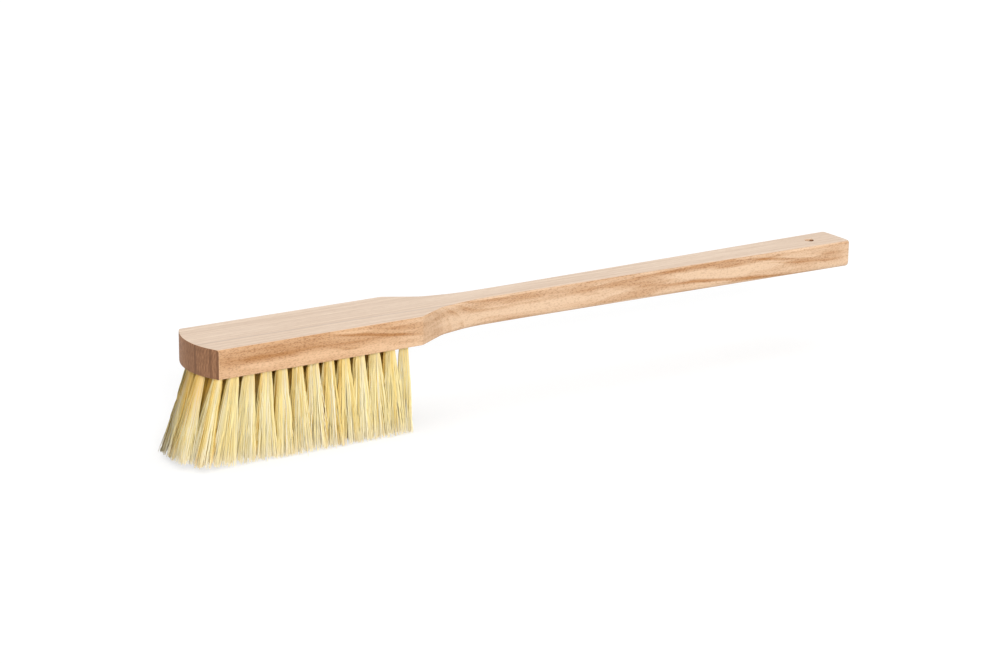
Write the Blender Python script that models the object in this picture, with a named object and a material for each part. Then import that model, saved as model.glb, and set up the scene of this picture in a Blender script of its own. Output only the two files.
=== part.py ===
"""A long-handled hand brush, standing on its bristle tips.

The board is one piece of beech: a wide head, a shoulder on each side, a waist, and a
handle with a hanging hole at its end. Blind holes in the underside of the head hold the
tufts. Each tuft is a bundle of plant fibre folded in half round a flat wire anchor, which
is driven to the bottom of the hole and bites into its wall. The head's first tufts lean
out towards the end of the brush, and the outer rows lean out a little to the sides.

Metres, +Z up, +X along the board from the head to the handle's end. The origin is on the
plane of the bristle tips, at the middle of the whole brush.
"""

import math

import bmesh
import bpy
from mathutils import Vector

# Board, all of it
BOARD_LENGTH = 0.5000
BOARD_THICKNESS = 0.0184

# Outline from the tip of the head: each run is the length along the board that follows
# the one before, and each radius rounds the corner where a run begins.
HEAD_LENGTH = 0.1488
HEAD_WIDTH = 0.0538
HEAD_BULGE = 0.0079
HEAD_CORNER_RADIUS = 0.0012
SHOULDER_RUN = 0.0218
SHOULDER_RADIUS = 0.0030
WAIST_RUN = 0.0234
WAIST_WIDTH = 0.0299
WAIST_RADIUS = 0.0250
NECK_RUN = 0.0412
NECK_WIDTH = 0.0205
NECK_START_RADIUS = 0.1200
NECK_END_RADIUS = 0.5000
SWELL_RUN = 0.0772
SWELL_WIDTH = 0.0231
SWELL_RADIUS = 1.0000
HANDLE_END_WIDTH = 0.0305
HANDLE_END_BULGE = 0.0006
HANDLE_END_CORNER_RADIUS = 0.0015

# Rounded long edges of the board, and how far the edges of its two end faces are eased
TOP_EDGE_RADIUS = 0.0018
HEAD_UNDERSIDE_RADIUS = 0.0006
HANDLE_UNDERSIDE_RADIUS = 0.0034
END_EASING = 0.0003

# Hanging hole
HANGING_HOLE_DIAMETER = 0.0060
HANGING_HOLE_INSET = 0.0242
HANGING_HOLE_CHAMFER = 0.0003

# Tuft pattern: every row holds as many tufts, and the inner rows start half a pitch nearer
# to the tip of the head than the outer rows, which follows its bulged end.
ROWS = 4
ROW_TUFTS = 13
HEAD_MARGIN = 0.0115
SHOULDER_MARGIN = 0.0081
SIDE_MARGIN = 0.0095

# Leans of the tufts: towards the tip of the head, towards the handle, and to the sides
HEAD_LEAN = math.radians(16.3)
HEAD_LEAN_RUN = 0.0600
HEAD_LEAN_POWER = 1.8
SHOULDER_LEAN = math.radians(0.5)
SHOULDER_LEAN_RUN = 0.0200
SIDE_LEAN = math.radians(3.2)

# Tuft, from the bottom of its hole to its trimmed tips
TUFT_DIAMETER = 0.0064
TUFT_HOLE_DEPTH = 0.0120
STRANDS = 8
BRISTLE_LENGTH = 0.0575
HEAD_TRIM = 0.0020
TIP_CUT = 0.0005
STRAND_RADIUS = 0.0017
STRAND_GAP = 0.0005
SPREAD_SHARES = (0.62, 1.0)
DROP_SHARES = (0.50, 1.0)

# Flat wire anchor across the fold of each tuft
ANCHOR_LENGTH = 0.0076
ANCHOR_HEIGHT = 0.0020
ANCHOR_THICKNESS = 0.0004
ANCHOR_DEPTH = 0.0101

# Clearance between touching pieces, and how far cutters run past a face
FIT_GAP = 0.0003
OVERRUN = 0.0010

# Steps of the round shapes
HEAD_ARC_STEPS = 8
END_ARC_STEPS = 2
FILLET_STEPS = 5
EDGE_STEPS = 3
HOLE_SIDES = 20
SHARP_ANGLE = math.radians(35)

WAIST_START = HEAD_LENGTH + SHOULDER_RUN
NECK_START = WAIST_START + WAIST_RUN
NECK_END = NECK_START + NECK_RUN
SWELL_START = NECK_END + SWELL_RUN
BOARD_BOTTOM = BRISTLE_LENGTH - TIP_CUT
BOARD_TOP = BOARD_BOTTOM + BOARD_THICKNESS
OUTER_ROW_Y = HEAD_WIDTH / 2 - SIDE_MARGIN
ROW_SPACING = 2 * OUTER_ROW_Y / (ROWS - 1)
FIRST_TUFT_X = HEAD_MARGIN
LAST_TUFT_X = HEAD_LENGTH - SHOULDER_MARGIN
TUFT_PITCH = (LAST_TUFT_X - FIRST_TUFT_X) / (ROW_TUFTS - 1)

BEECH = ((0.72, 0.50, 0.34, 1.0), 0.62)
PLANT_FIBRE = ((0.80, 0.67, 0.33, 1.0), 0.70)


def clear_scene():
    for obj in list(bpy.data.objects):
        bpy.data.objects.remove(obj, do_unlink=True)


def make_material(name, colour, roughness):
    material = bpy.data.materials.new(name)
    material.use_nodes = True
    shader = material.node_tree.nodes["Principled BSDF"]
    shader.inputs["Base Color"].default_value = colour
    shader.inputs["Roughness"].default_value = roughness
    shader.inputs["Metallic"].default_value = 0.0
    material.diffuse_color = colour
    return material


def object_from_bmesh(name, bm, material=None):
    """Makes a linked object from bm, with its faces turned outwards."""
    bmesh.ops.recalc_face_normals(bm, faces=bm.faces)
    mesh = bpy.data.meshes.new(name)
    bm.to_mesh(mesh)
    bm.free()
    if material:
        mesh.materials.append(material)
    obj = bpy.data.objects.new(name, mesh)
    bpy.context.scene.collection.objects.link(obj)
    return obj


def hide_helper(obj):
    obj.hide_render = True
    obj.display_type = "WIRE"
    return obj


def add_boolean(obj, other, operation):
    modifier = obj.modifiers.new(operation.lower() + "_" + other.name, "BOOLEAN")
    modifier.operation = operation
    modifier.solver = "EXACT"
    modifier.object = other


def bulged_end(half_width, bulge, side_inset, steps):
    """Points of half of a bulged end face, from its middle to its corner, as distances
    (in from the end, out from the middle). The side's inset makes the arc shorter."""
    radius = (half_width**2 + bulge**2) / (2 * bulge)
    outs = [(half_width - side_inset) * step / steps for step in range(steps + 1)]
    return [(radius - math.sqrt(radius**2 - out**2), out) for out in outs]


def fillet_points(before, corner, after, radius, steps):
    """The corner of a path, rounded to this radius as far as its two sides allow."""
    to_before = before - corner
    to_after = after - corner
    turn = math.pi - to_before.angle(to_after)
    reach = min(radius * math.tan(turn / 2), to_before.length / 2, to_after.length / 2)
    start = corner + to_before.normalized() * reach
    end = corner + to_after.normalized() * reach
    used_radius = reach / math.tan(turn / 2)
    inward = (to_before.normalized() + to_after.normalized()).normalized()
    centre = corner + inward * used_radius / math.cos(turn / 2)
    from_centre = start - centre
    side = 1 if from_centre.cross(end - centre) > 0 else -1
    points = []
    for step in range(steps + 1):
        angle = side * turn * step / steps
        rotated = Vector(
            (
                from_centre.x * math.cos(angle) - from_centre.y * math.sin(angle),
                from_centre.x * math.sin(angle) + from_centre.y * math.cos(angle),
            )
        )
        points.append(centre + rotated)
    return points


def edge_radius(x, at_top):
    """The long edges are rounded alike all along the top. Under the head they are crisp, and
    they soften through the shoulder and the waist to the handle."""
    if at_top:
        return TOP_EDGE_RADIUS
    share = min(max((x - HEAD_LENGTH) / (NECK_START - HEAD_LENGTH), 0.0), 1.0)
    return HEAD_UNDERSIDE_RADIUS + (HANDLE_UNDERSIDE_RADIUS - HEAD_UNDERSIDE_RADIUS) * share


def half_outline(in_share, at_top):
    """The +Y half of one ring of the board, from the tip of the head to the handle's end,
    inset by this share of the rounded edges."""

    def side_corner(x, width, radius):
        return (x, width / 2 - edge_radius(x, at_top) * in_share, radius)

    easing = END_EASING * in_share
    side_inset = edge_radius(0, at_top) * in_share
    head = bulged_end(HEAD_WIDTH / 2, HEAD_BULGE, side_inset, HEAD_ARC_STEPS)
    corners = [(inset + easing, out, 0) for inset, out in head]
    corners[-1] = (*corners[-1][:2], HEAD_CORNER_RADIUS)
    corners.append(side_corner(HEAD_LENGTH, HEAD_WIDTH, SHOULDER_RADIUS))
    corners.append(side_corner(WAIST_START, WAIST_WIDTH, WAIST_RADIUS))
    corners.append(side_corner(NECK_START, NECK_WIDTH, NECK_START_RADIUS))
    corners.append(side_corner(NECK_END, NECK_WIDTH, NECK_END_RADIUS))
    corners.append(side_corner(SWELL_START, SWELL_WIDTH, SWELL_RADIUS))
    side_inset = edge_radius(BOARD_LENGTH, at_top) * in_share
    end = bulged_end(HANDLE_END_WIDTH / 2, HANDLE_END_BULGE, side_inset, END_ARC_STEPS)
    end = [(BOARD_LENGTH - easing - inset, out, 0) for inset, out in reversed(end)]
    corners.append((*end[0][:2], HANDLE_END_CORNER_RADIUS))
    corners += end[1:]

    places = [Vector(corner[:2]) for corner in corners]
    outline = [places[0]]
    for index in range(1, len(corners) - 1):
        radius = corners[index][2]
        if radius:
            outline += fillet_points(
                places[index - 1], places[index], places[index + 1], radius, FILLET_STEPS
            )
        else:
            outline.append(places[index])
    return outline + [places[-1]]


def full_outline(in_share, at_top):
    """One closed ring, anticlockwise seen from above, starting at the tip of the head."""
    upper = half_outline(in_share, at_top)
    lower = [Vector((point.x, -point.y)) for point in upper[1:-1]]
    return [upper[0]] + lower + [upper[-1]] + upper[-2:0:-1]


def ring_profile():
    """(share of the edge radius in from the outline, share in from the face, top or bottom)
    for each ring of the board, from the bottom face up to the top face."""
    quarter = [math.pi / 2 * step / EDGE_STEPS for step in range(EDGE_STEPS + 1)]
    bottom = [(1 - math.cos(angle), 1 - math.sin(angle), False) for angle in reversed(quarter)]
    top = [(1 - math.cos(angle), 1 - math.sin(angle), True) for angle in quarter]
    return bottom + top


def build_board(material):
    bm = bmesh.new()
    rings = []
    for in_share, face_share, at_top in ring_profile():
        ring = []
        for point in full_outline(in_share, at_top):
            from_face = edge_radius(point.x, at_top) * face_share
            z = BOARD_TOP - from_face if at_top else BOARD_BOTTOM + from_face
            ring.append(bm.verts.new((point.x, point.y, z)))
        rings.append(ring)
    for low, high in zip(rings, rings[1:]):
        join_rings(bm, low, high)
    bm.faces.new(list(reversed(rings[0])))
    bm.faces.new(rings[-1])
    return object_from_bmesh("brush_board", bm, material)


def level_vector(angle, length):
    return Vector((math.cos(angle), math.sin(angle), 0)) * length


def add_ring(bm, centre, radius, sides):
    """Adds the corners of a level polygon with flats that face along X and Y."""
    angles = [2 * math.pi * (side + 0.5) / sides for side in range(sides)]
    return [bm.verts.new(centre + level_vector(angle, radius)) for angle in angles]


def join_rings(bm, low, high):
    for index in range(len(low)):
        after = (index + 1) % len(low)
        bm.faces.new((low[index], low[after], high[after], high[index]))


def add_prism(bm, stations, sides):
    """Adds a closed prism through stations, which are (centre, radius)."""
    rings = [add_ring(bm, centre, radius, sides) for centre, radius in stations]
    for low, high in zip(rings, rings[1:]):
        join_rings(bm, low, high)
    bm.faces.new(list(reversed(rings[0])))
    bm.faces.new(rings[-1])


def add_box(bm, centre, size):
    """Adds a closed box."""
    made = bmesh.ops.create_cube(bm, size=1.0)
    for vert in made["verts"]:
        vert.co = centre + Vector(a * b for a, b in zip(vert.co, size))


def tuft_places():
    """(row, number in the row, x, y) of each tuft's root on the underside of the head."""
    places = []
    for row in range(ROWS):
        outer = row in (0, ROWS - 1)
        start = FIRST_TUFT_X if outer else FIRST_TUFT_X - TUFT_PITCH / 2
        y = ROW_SPACING * row - OUTER_ROW_Y
        for number in range(ROW_TUFTS):
            places.append((row + 1, number + 1, start + TUFT_PITCH * number, y))
    return places


def head_share(x):
    """1 at the first tufts, and 0 where the tufts no longer lean towards the head's tip."""
    return max(0.0, 1 - (x - FIRST_TUFT_X) / HEAD_LEAN_RUN)


def tuft_slope(x, y):
    """How far a tuft rooted at x, y runs sideways for each unit that it drops."""
    shoulder_share = max(0.0, 1 - (LAST_TUFT_X - x) / SHOULDER_LEAN_RUN)
    lean = SHOULDER_LEAN * shoulder_share - HEAD_LEAN * head_share(x) ** HEAD_LEAN_POWER
    return Vector((math.tan(lean), math.tan(SIDE_LEAN) * y / OUTER_ROW_Y, 0))


def point_on_tuft(x, y, z):
    """Where the middle of the tuft rooted at x, y passes the height z."""
    drop = BOARD_BOTTOM - z
    return Vector((x, y, z)) + tuft_slope(x, y) * drop


def tuft_drop(x, y):
    """How far below the board a tuft ends. Those that lean are cut a little shorter, and the
    others are trimmed flat in the plane that the brush stands on."""
    run = tuft_slope(x, y).length
    length = BRISTLE_LENGTH - HEAD_TRIM * head_share(x)
    return min(length / math.sqrt(1 + run**2), BRISTLE_LENGTH - TIP_CUT)


def build_tuft_hole_cutter():
    bm = bmesh.new()
    radius = TUFT_DIAMETER / 2 + FIT_GAP
    for _, _, x, y in tuft_places():
        mouth = point_on_tuft(x, y, BOARD_BOTTOM - OVERRUN)
        floor = point_on_tuft(x, y, BOARD_BOTTOM + TUFT_HOLE_DEPTH)
        add_prism(bm, [(mouth, radius), (floor, radius)], STRANDS)
    return hide_helper(object_from_bmesh("tuft_hole_cutter", bm))


def build_anchor_slot_cutter():
    """The cuts that the ends of the anchors make in the walls of the holes."""
    bm = bmesh.new()
    size = [length + 2 * FIT_GAP for length in (ANCHOR_THICKNESS, ANCHOR_LENGTH, ANCHOR_HEIGHT)]
    for _, _, x, y in tuft_places():
        add_box(bm, point_on_tuft(x, y, BOARD_BOTTOM + ANCHOR_DEPTH), size)
    return hide_helper(object_from_bmesh("anchor_slot_cutter", bm))


def build_hanging_hole_cutter():
    """A drilled hole through the handle, with its two mouths chamfered."""
    bm = bmesh.new()
    radius = HANGING_HOLE_DIAMETER / 2
    x = BOARD_LENGTH - HANGING_HOLE_INSET
    wide = radius + HANGING_HOLE_CHAMFER + OVERRUN
    stations = [
        (Vector((x, 0, BOARD_BOTTOM - OVERRUN)), wide),
        (Vector((x, 0, BOARD_BOTTOM + HANGING_HOLE_CHAMFER)), radius),
        (Vector((x, 0, BOARD_TOP - HANGING_HOLE_CHAMFER)), radius),
        (Vector((x, 0, BOARD_TOP + OVERRUN)), wide),
    ]
    add_prism(bm, stations, HOLE_SIDES)
    return hide_helper(object_from_bmesh("hanging_hole_cutter", bm))


def cell_half_sizes():
    """Half of the room that each tuft's tips have, along the head and across it."""
    row_spread = (BOARD_BOTTOM * math.tan(SIDE_LEAN)) * ROW_SPACING / OUTER_ROW_Y
    return (
        (TUFT_PITCH - STRAND_GAP) / 2,
        (ROW_SPACING + row_spread - STRAND_GAP) / 2,
    )


def strand_section(centre, angle, spread_share):
    """The three corners of one strand where the tuft's middle is at centre: at the root a
    slice of the round bundle, and then a slim bundle of its own, further and further out."""
    half_slice = math.pi / STRANDS
    ahead = level_vector(angle, 1)
    squared = ahead / max(abs(ahead.x), abs(ahead.y))
    half_x, half_y = cell_half_sizes()
    tip_middle = Vector(
        ((half_x - STRAND_RADIUS) * squared.x, (half_y - STRAND_RADIUS) * squared.y, 0)
    )
    root_corners = (
        Vector((0, 0, 0)),
        level_vector(angle - half_slice, TUFT_DIAMETER / 2),
        level_vector(angle + half_slice, TUFT_DIAMETER / 2),
    )
    tip_corners = (
        tip_middle + level_vector(angle + math.pi, STRAND_RADIUS),
        tip_middle + level_vector(angle - math.pi / 3, STRAND_RADIUS),
        tip_middle + level_vector(angle + math.pi / 3, STRAND_RADIUS),
    )
    return [
        centre + root.lerp(tip, spread_share)
        for root, tip in zip(root_corners, tip_corners)
    ]


def build_anchor(name, x, y):
    """The flat wire across the fold of one tuft."""
    bm = bmesh.new()
    centre = point_on_tuft(x, y, BOARD_BOTTOM + ANCHOR_DEPTH)
    add_box(bm, centre, (ANCHOR_THICKNESS, ANCHOR_LENGTH, ANCHOR_HEIGHT))
    return hide_helper(object_from_bmesh(name, bm))


def build_tuft(name, x, y, material):
    """One tuft: the folded root that fills its hole, and the strands that spread from it
    below the board and are cut off flat at their tips."""
    bm = bmesh.new()
    mouth = point_on_tuft(x, y, BOARD_BOTTOM)
    fold = point_on_tuft(x, y, BOARD_BOTTOM + TUFT_HOLE_DEPTH - FIT_GAP)
    mouth_ring = add_ring(bm, mouth, TUFT_DIAMETER / 2, STRANDS)
    fold_ring = add_ring(bm, fold, TUFT_DIAMETER / 2, STRANDS)
    join_rings(bm, mouth_ring, fold_ring)
    bm.faces.new(fold_ring)

    middle = bm.verts.new(mouth)
    for index in range(STRANDS):
        angle = 2 * math.pi * (index + 1) / STRANDS
        above = [middle, mouth_ring[index], mouth_ring[(index + 1) % STRANDS]]
        for spread_share, drop_share in zip(SPREAD_SHARES, DROP_SHARES):
            centre = point_on_tuft(x, y, BOARD_BOTTOM - tuft_drop(x, y) * drop_share)
            corners = strand_section(centre, angle, spread_share)
            below = [bm.verts.new(corner) for corner in corners]
            join_rings(bm, below, above)
            above = below
        bm.faces.new(above)
    tuft = object_from_bmesh(name, bm, material)
    add_boolean(tuft, build_anchor(name + "_anchor", x, y), "UNION")
    return tuft


def shade_round_edges(obj):
    obj.data.shade_smooth()
    obj.data.set_sharp_from_angle(angle=SHARP_ANGLE)


def centre_on_origin(pieces):
    """Hangs every object on one empty, set so that the brush is centred on the origin."""
    xs = [vert.co.x for piece in pieces for vert in piece.data.vertices]
    holder = bpy.data.objects.new("brush_middle", None)
    bpy.context.scene.collection.objects.link(holder)
    holder.location = (-(min(xs) + max(xs)) / 2, 0, 0)
    for obj in list(bpy.data.objects):
        if obj is not holder:
            obj.parent = holder


def main():
    clear_scene()
    beech = make_material("beech", *BEECH)
    fibre = make_material("plant_fibre", *PLANT_FIBRE)

    board = build_board(beech)
    add_boolean(board, build_tuft_hole_cutter(), "DIFFERENCE")
    add_boolean(board, build_anchor_slot_cutter(), "DIFFERENCE")
    add_boolean(board, build_hanging_hole_cutter(), "DIFFERENCE")
    shade_round_edges(board)

    tufts = []
    for row, number, x, y in tuft_places():
        tufts.append(build_tuft(f"tuft_row{row}_{number:02d}", x, y, fibre))
    centre_on_origin([board] + tufts)


main()
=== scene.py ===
"""The looks of a long-handled hand brush: a beech board, and tufts of pale plant fibre.

Metres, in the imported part's own frame: +Z up, +X from the head to the handle's end, the
bristle tips on the floor at Z = 0.
"""

import math

import bmesh
import bpy
import numpy as np
from mathutils import Matrix, Vector


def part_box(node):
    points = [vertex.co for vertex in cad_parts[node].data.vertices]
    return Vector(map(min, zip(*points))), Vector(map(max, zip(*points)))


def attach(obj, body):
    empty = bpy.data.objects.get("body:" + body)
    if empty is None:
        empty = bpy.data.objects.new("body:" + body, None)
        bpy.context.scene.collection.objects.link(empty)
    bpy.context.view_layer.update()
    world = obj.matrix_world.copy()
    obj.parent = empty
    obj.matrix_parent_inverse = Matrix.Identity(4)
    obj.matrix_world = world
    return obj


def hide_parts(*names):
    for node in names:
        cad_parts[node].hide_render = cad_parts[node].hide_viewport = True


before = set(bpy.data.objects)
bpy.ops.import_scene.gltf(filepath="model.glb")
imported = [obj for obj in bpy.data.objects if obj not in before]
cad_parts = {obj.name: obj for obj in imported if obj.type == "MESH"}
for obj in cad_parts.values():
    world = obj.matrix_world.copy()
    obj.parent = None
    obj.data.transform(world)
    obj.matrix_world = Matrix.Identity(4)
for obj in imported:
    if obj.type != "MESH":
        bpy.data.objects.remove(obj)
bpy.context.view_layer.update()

MM = 0.001

# The board's box, as the frame gives it
BOARD_LOW, BOARD_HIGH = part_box("brush_board")
HEAD_HALF_WIDTH = BOARD_HIGH.y

# The board's outline, from the tip of the head: each run follows the one before.
HEAD_LENGTH = 148.8 * MM
HEAD_BULGE = 7.9 * MM
HEAD_CORNER_RADIUS = 1.2 * MM
SHOULDER_RUN = 21.8 * MM
SHOULDER_RADIUS = 3.0 * MM
WAIST_RUN = 23.4 * MM
WAIST_WIDTH = 29.9 * MM
WAIST_RADIUS = 25.0 * MM
NECK_RUN = 41.2 * MM
NECK_WIDTH = 20.5 * MM
NECK_START_RADIUS = 120.0 * MM
NECK_END_RADIUS = 500.0 * MM
SWELL_RUN = 77.2 * MM
SWELL_WIDTH = 23.1 * MM
SWELL_RADIUS = 1000.0 * MM
HANDLE_END_WIDTH = 30.5 * MM
HANDLE_END_BULGE = 0.6 * MM
HANDLE_END_CORNER_RADIUS = 1.5 * MM
TOP_EDGE_RADIUS = 1.8 * MM
HEAD_UNDERSIDE_RADIUS = 0.6 * MM
HANDLE_UNDERSIDE_RADIUS = 3.4 * MM
END_EASING = 0.3 * MM
HANGING_HOLE_RADIUS = 3.0 * MM
HANGING_HOLE_INSET = 24.2 * MM
HANGING_HOLE_CHAMFER = 0.3 * MM
# How far cutters run past what they cut
OVERRUN = 1.0 * MM
# Places of the frame's tufts that differ by less than this in height are level
LEVEL_TOLERANCE = 0.5 * MM

# Steps of the board's round shapes, and how many the rounded corner of an end takes up
HEAD_ARC_STEPS = 40
HEAD_CORNER_STEPS = 3
END_ARC_STEPS = 8
END_CORNER_STEPS = 4
FILLET_STEPS = 14
EDGE_STEPS = 7
HOLE_SIDES = 40
TUFT_HOLE_SIDES = 20
SHARP_ANGLE = math.radians(32)

# Tufts and their anchors, in the board
TUFT_RADIUS = 3.2 * MM
TUFT_HOLE_RADIUS = 3.4 * MM
TUFT_HOLE_DEPTH = 12.0 * MM
ANCHOR_DEPTH = 10.1 * MM
ANCHOR_SIZE = (0.4 * MM, 7.6 * MM, 2.0 * MM)
ANCHOR_EDGE_RADIUS = 0.1 * MM
ANCHOR_EDGE_STEPS = 2

# Fibres, folded in half over the anchor. Each station of the fold has its share of the way
# out to the root, below 0 on the other side of the anchor, and its share of the full depth.
FOLDED_FIBRES = 120
FIBRE_RADII = (0.15 * MM, 0.28 * MM)
FIBRE_SIDES = 3
FIBRE_STEPS = 8
TIP_RADIUS_SHARE = 0.62
MOUTH_RADIUS = 3.05 * MM
FOLD_DEPTH = 11.5 * MM
FOLD_STATION_SHARES = ((1.0, 0.8), (0.55, 1.0), (-0.55, 1.0), (-1.0, 0.8))
FOLD_JITTER = 0.15 * MM
TUFT_SEED = 7

# How far the tips spread, as shares of the half size of the frame's tuft: towards another
# tuft, towards the two ends of the brush and towards its long sides. At the two ends the
# roots are drawn together too.
NEIGHBOUR_SPREAD_SHARE = 1.6
HEAD_END_SPREAD_SHARE = 0.4
SHOULDER_END_SPREAD_SHARE = 0.4
LONG_SIDE_SPREAD_SHARE = 1.0
END_ROOT_SPREAD_SHARE = 0.6

# How the loose ends differ from each other, in place, length and bend. Each is pulled part
# of the way to the middle of its clump, and the ends of a clump share one change of length.
TIP_JITTER = 0.45 * MM
TUFT_CLUMPS = 24
CLUMP_PULL_SHARE = 0.45
CLUMP_PULL_RANGE_SHARES = (0.2, 1.0)
STRAY_SHARE = 0.03
STRAY_JITTER = 2.4 * MM
EXTRA_LENGTH = 0.9 * MM
LENGTH_RANGE = 3.4 * MM
CLUMP_LENGTH_JITTER = 0.7 * MM
CLUMP_LENGTH_LIMITS = (-2.0 * MM, 0.8 * MM)
SHORT_SHARE = 0.06
SHORT_LENGTH_SHARES = (0.70, 0.95)
LEAST_TIP_HEIGHT = 0.2 * MM
TIP_HEIGHT_RANGE = 1.2 * MM
FIBRE_BOW = 0.40 * MM
FIBRE_KINK = 0.28 * MM
FAN_POWER = 1.15

# Shades of the fibres, from 0, darkest, to 1. In each tuft they get darker towards the rear,
# which faces the middle of the brush, and towards the flanks, which face along X. This is
# painted shade, for the shadow in the gaps between tufts. How far a fibre is to the rear counts
# within limits, so the front is only a little lighter.
MIDDLE_SHADE = 0.64
FIBRE_SHADE_JITTER = 0.15
CLUMP_SHADE_JITTER = 0.17
TUFT_SHADE_JITTER = 0.03
REAR_PAINTED_SHADE = 0.30
REAR_LIMIT_SHARES = (-0.3, 1.0)
FLANK_PAINTED_SHADE = 0.16
# How far the first tuft of an inner row counts as inside the brush, for its painted shade
FIRST_TUFT_INNER_SHARE = 0.45

# Normals lean outwards by the first share. Outwards is the way from the middle of the tuft,
# plus the second share of the way from the brush's spine to the tuft. The X of that second
# way is scaled by the third share at the head's end and by the fourth at the shoulder's, and
# the X of the sum by the last.
NORMAL_LEAN_SHARE = 0.6
SPINE_LEAN_SHARE = 0.5
HEAD_END_LEAN_SHARE = 2.0
SHOULDER_END_LEAN_SHARE = 0.3
LENGTHWAYS_LEAN_SHARE = 0.6

# Width of a fibre in its bake map, which runs from 0 to 1
BAKE_STRIP = 0.004
# Keeps a length that something is divided by from being 0
TINY = 1e-12

# Camera, as fitted to the board's edges in the photograph
IMAGE_WIDTH = 1000
SENSOR_WIDTH = 36.0
FOCAL_PIXELS = 2647.2
CAMERA_AZIMUTH = math.radians(-32.65)
CAMERA_ELEVATION = math.radians(16.81)
CAMERA_ROLL = math.radians(0.74)
CAMERA_DISTANCE = 1.72
CAMERA_RIGHT = -23.2 * MM
CAMERA_UP = -13.15 * MM


class Nodes:
    """Fills one node tree. Each method but add and feed returns an output socket."""

    def __init__(self, tree):
        self.tree = tree
        tree.nodes.clear()

    def add(self, kind, inputs=None, **settings):
        node = self.tree.nodes.new(kind)
        for name, value in settings.items():
            setattr(node, name, value)
        for key, value in (inputs or {}).items():
            self.feed(node.inputs[key], value)
        return node

    def feed(self, socket, value):
        """Links another node's output to the socket, or sets its number or colour."""
        if isinstance(value, bpy.types.NodeSocket):
            self.tree.links.new(value, socket)
        elif socket.type == "RGBA":
            socket.default_value = (*value, 1.0)
        else:
            socket.default_value = value

    def math(self, operation, first, second=0.0, clamp=False):
        inputs = {0: first, 1: second}
        return self.add("ShaderNodeMath", inputs, operation=operation, use_clamp=clamp).outputs[0]

    def ease(self, value, low, high, to_low=0.0, to_high=1.0):
        """Goes smoothly from to_low to to_high as value goes from low to high."""
        inputs = {"Value": value, "From Min": low, "From Max": high}
        inputs |= {"To Min": to_low, "To Max": to_high}
        node = self.add("ShaderNodeMapRange", inputs, interpolation_type="SMOOTHSTEP")
        return node.outputs["Result"]

    def mix(self, share, first, second):
        inputs = {"Factor": share, "A": first, "B": second}
        node = self.add("ShaderNodeMix", data_type="RGBA")
        for socket in node.inputs:
            if socket.enabled and socket.name in inputs:
                self.feed(socket, inputs[socket.name])
        return next(socket for socket in node.outputs if socket.enabled)

    def vector(self, x, y, z):
        return self.add("ShaderNodeCombineXYZ", {"X": x, "Y": y, "Z": z}).outputs[0]

    def stretched(self, xyz, lengths):
        """Two or three coordinates, scaled so that these lengths become 1."""
        shares = [self.math("DIVIDE", a, b) for a, b in zip(xyz, lengths)]
        return self.vector(*shares, *([0.0] * (3 - len(shares))))

    def grain(self, xyz, noise):
        """Noise from 0 to 1, given as about how long its features are on each axis, its
        detail and its roughness."""
        lengths, detail, roughness = noise
        place = self.stretched(xyz, lengths)
        inputs = {"Vector": place, "Scale": 1.0, "Detail": detail, "Roughness": roughness}
        return self.add("ShaderNodeTexNoise", inputs).outputs["Fac"]

    def drift(self, xyz, noise, amount):
        """The same noise, moved to lie round 0 and scaled by this amount."""
        centred = self.math("SUBTRACT", self.grain(xyz, noise), 0.5)
        return self.math("MULTIPLY", centred, amount)

    def ramp(self, value, stops):
        node = self.add("ShaderNodeValToRGB", {"Fac": value})
        elements = node.color_ramp.elements
        while len(elements) < len(stops):
            # Its place is set below
            elements.new(0.5)
        for element, (position, colour) in zip(elements, stops):
            element.position = position
            element.color = (*colour, 1.0)
        return node.outputs["Color"]


def finish_material(nodes, **inputs):
    """Adds the Principled shader and the output. Names of inputs have _ for a space."""
    shader = nodes.add("ShaderNodeBsdfPrincipled")
    for name, value in inputs.items():
        nodes.feed(shader.inputs[name.replace("_", " ")], value)
    nodes.add("ShaderNodeOutputMaterial", {"Surface": shader.outputs[0]})


def new_material(name):
    material = bpy.data.materials.new(name)
    material.use_nodes = True
    return material, Nodes(material.node_tree)


# Beech, in millimetres: X from the tip of the head, Y across, Z above the underside. While
# what a curve follows goes from its first number to its second, the curve goes from its
# third to its fourth. One with only two numbers goes from 0 to 1, and a fade ends at 0.

# Growth rings, each paler at first and darkest just before the next one
PITH_Y = -50.0
PITH_Z = 2.0
RING_SPACING = 2.0
RING_PHASE_SHARE = 0.57
RING_WANDER = 0.9
RING_RIPPLE = 0.6
LATE_WOOD_RISE = (0.25, 0.85)
LATE_WOOD_FALL = (0.88, 0.99, 1.0, 0.0)
YEAR_STRENGTH = (0.0, 1.0, 0.6, 1.0)
YEAR_SEED = (0.37, 0.61)

# Noise: about how long a feature is along X, Y and Z, its detail and its roughness
WANDER_NOISE = ((60.0, 30.0, 9.0), 1.0, 0.45)
RIPPLE_NOISE = ((14.0, 5.0, 3.0), 2.0, 0.5)
WOBBLE_NOISE = ((22.0, 40.0, 60.0), 2.0, 0.5)
FINE_NOISE = ((14.0, 0.45, 0.5), 2.0, 0.6)
FLECK_NOISE = ((1.7, 0.6, 0.6), 1.0, 0.5)
PATCH_NOISE = ((34.0, 12.0, 4.0), 1.0, 0.5)
STREAK_NOISE = ((150.0, 3.2, 9.0), 2.0, 0.6)
DASH_NOISE = ((5.0, 1.2, 3.0), 1.0, 0.5)
PORE_NOISE = ((30.0, 0.7, 3.5), 2.0, 0.6)
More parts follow.
